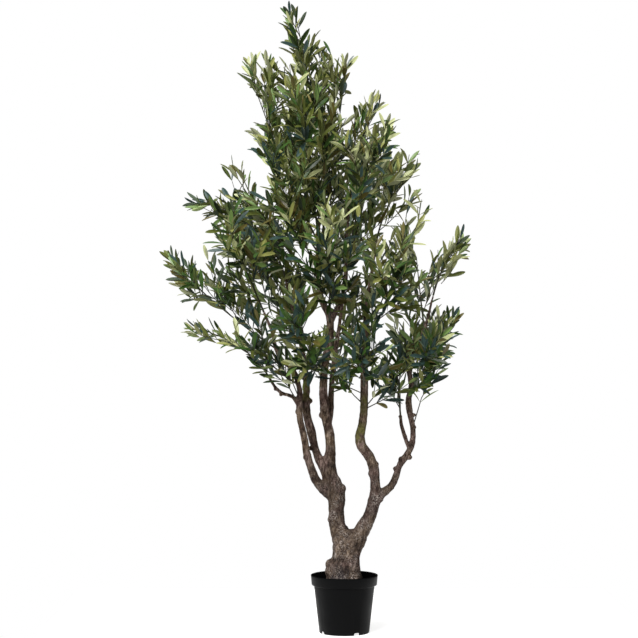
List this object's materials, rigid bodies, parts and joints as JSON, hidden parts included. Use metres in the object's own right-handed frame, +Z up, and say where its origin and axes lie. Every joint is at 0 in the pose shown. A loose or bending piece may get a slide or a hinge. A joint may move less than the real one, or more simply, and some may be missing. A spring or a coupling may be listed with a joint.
{
  "type": "artificial olive tree",
  "caption": "Artificial olive tree with gnarled, forking boughs and a leafy pointed crown, standing in a round black nursery pot filled with mortar.",
  "frame": {"origin": "middle of the flat underside of the pot", "axes": "+Z up the tree, -Y the side that the picture shows, +X to that viewer's right"},
  "size_m": [1.2287, 0.9428, 2.4836],
  "materials": {
    "black_plastic": "satin",
    "mortar": "matte",
    "bark": "matte",
    "leaves": "satin"
  },
  "bodies": {
    "root": {"pot": "black_plastic", "mortar_fill": "mortar", "trunk": "bark", "centre_bough": "bark", "outer_left_bough": "bark", "inner_left_bough": "bark", "back_bough": "bark", "upper_right_bough": "bark", "right_bough": "bark", "right_outer_bough": "bark", "left_spur": "bark", "right_spur": "bark", "top_leaves": "leaves", "upper_left_leaves": "leaves", "upper_right_leaves": "leaves", "upper_front_leaves": "leaves", "upper_back_leaves": "leaves", "left_shoulder_leaves": "leaves", "left_high_front_leaves": "leaves", "left_high_back_leaves": "leaves", "right_crest_leaves": "leaves", "right_front_high_leaves": "leaves", "right_back_high_leaves": "leaves", "right_shoulder_leaves": "leaves", "right_middle_leaves": "leaves", "right_front_leaves": "leaves", "low_front_leaves": "leaves", "centre_front_leaves": "leaves", "low_left_front_leaves": "leaves", "right_outer_top_leaves": "leaves", "right_outer_low_leaves": "leaves", "right_low_front_leaves": "leaves", "right_low_back_leaves": "leaves", "right_back_leaves": "leaves", "right_spur_leaves": "leaves", "back_centre_leaves": "leaves", "back_low_leaves": "leaves", "left_back_leaves": "leaves", "left_low_back_leaves": "leaves", "left_upper_leaves": "leaves", "left_outer_leaves": "leaves", "left_front_leaves": "leaves", "left_bottom_leaves": "leaves", "left_low_shoot": "leaves"}
  },
  "joints": []
}
